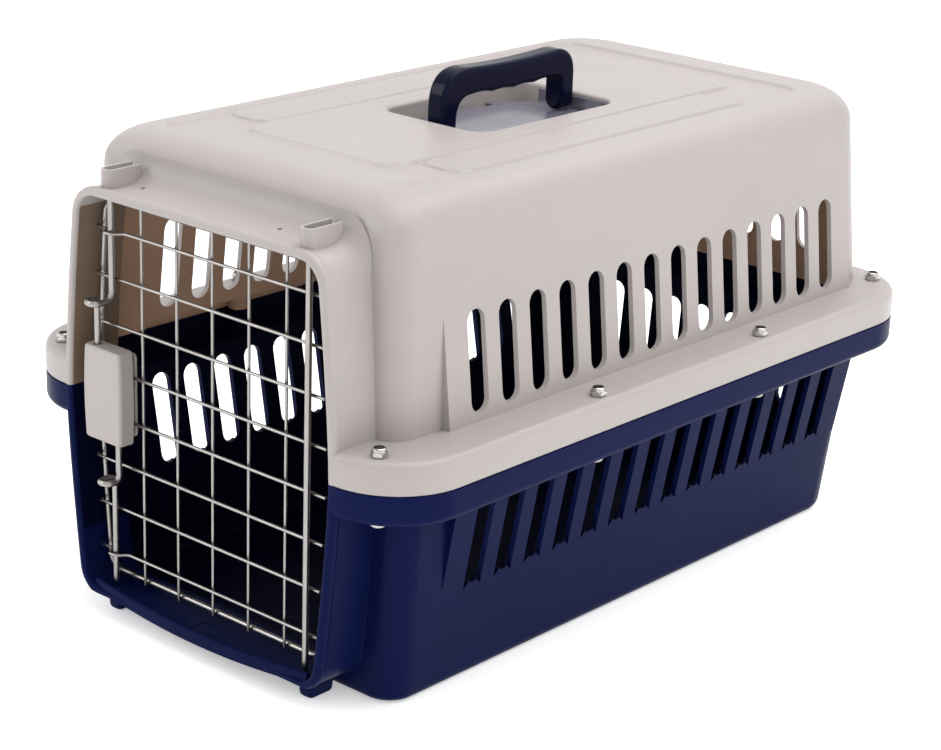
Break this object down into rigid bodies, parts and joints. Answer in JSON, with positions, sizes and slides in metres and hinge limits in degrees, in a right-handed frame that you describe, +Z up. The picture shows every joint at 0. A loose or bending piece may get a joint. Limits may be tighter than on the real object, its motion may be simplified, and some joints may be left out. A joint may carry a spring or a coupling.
{
  "type": "pet transport carrier",
  "caption": "Small hard-sided pet carrier: two bolted plastic shells with vent slots, a hinged wire door with a two-rod latch, and a folding top handle.",
  "frame": {"origin": "on the ground under the middle between the front and rear flange bolts, on the centre plane", "axes": "+X across the width to the door's hinge side, +Y along the length to the rear, with the door at -Y, +Z up"},
  "size_m": [0.298, 0.4805, 0.299],
  "materials": {
    "cream_plastic": "fine satin moulding grain",
    "navy_plastic": "satin",
    "gloss_navy_plastic": "gloss",
    "wire_steel": "bright drawn wire",
    "fastener_zinc": "bright zinc plate"
  },
  "bodies": {
    "shells": {"top_shell": "cream_plastic", "base_shell": "navy_plastic", "recess_plate": "gloss_navy_plastic", "nut_left_front": "fastener_zinc", "nut_left_mid_front": "fastener_zinc", "nut_left_mid_rear": "fastener_zinc", "nut_left_rear": "fastener_zinc", "nut_right_front": "fastener_zinc", "nut_right_mid_front": "fastener_zinc", "nut_right_mid_rear": "fastener_zinc", "nut_right_rear": "fastener_zinc", "bolt_left_front": "fastener_zinc", "bolt_left_mid_front": "fastener_zinc", "bolt_left_mid_rear": "fastener_zinc", "bolt_left_rear": "fastener_zinc", "bolt_right_front": "fastener_zinc", "bolt_right_mid_front": "fastener_zinc", "bolt_right_mid_rear": "fastener_zinc", "bolt_right_rear": "fastener_zinc"},
    "door": {"door_frame": "wire_steel", "hinge_rod": "wire_steel", "door_upright_1": "wire_steel", "door_upright_2": "wire_steel", "door_upright_3": "wire_steel", "door_upright_4": "wire_steel", "door_upright_5": "wire_steel", "door_cross_1": "wire_steel", "door_cross_2": "wire_steel", "door_cross_3": "wire_steel", "door_cross_4": "wire_steel", "door_cross_5": "wire_steel", "door_cross_6": "wire_steel", "door_cross_7": "wire_steel", "door_cross_8": "wire_steel", "latch_housing": "cream_plastic", "latch_back_plate": "cream_plastic", "upper_latch_spring": "wire_steel", "lower_latch_spring": "wire_steel"},
    "upper_latch": {"upper_latch_rod": "wire_steel"},
    "lower_latch": {"lower_latch_rod": "wire_steel"},
    "handle": {"carry_handle": "gloss_navy_plastic"}
  },
  "joints": [
    {"name": "door_hinge", "type": "hinge", "parent": "shells", "child": "door", "pos_m": [0.0762, -0.2275, 0.131], "axis": [0, 0, 1], "range_deg": [0, 110]},
    {"name": "upper_latch_slide", "type": "slide", "parent": "door", "child": "upper_latch", "axis": [0, 0, 1], "range_m": [0, 0.009]},
    {"name": "lower_latch_slide", "type": "slide", "parent": "door", "child": "lower_latch", "axis": [0, 0, -1], "range_m": [0, 0.009]},
    {"name": "handle_fold", "type": "hinge", "parent": "shells", "child": "handle", "pos_m": [0.0015, 0.001, 0.268], "axis": [0, 1, 0], "range_deg": [-88, 88]}
  ]
}
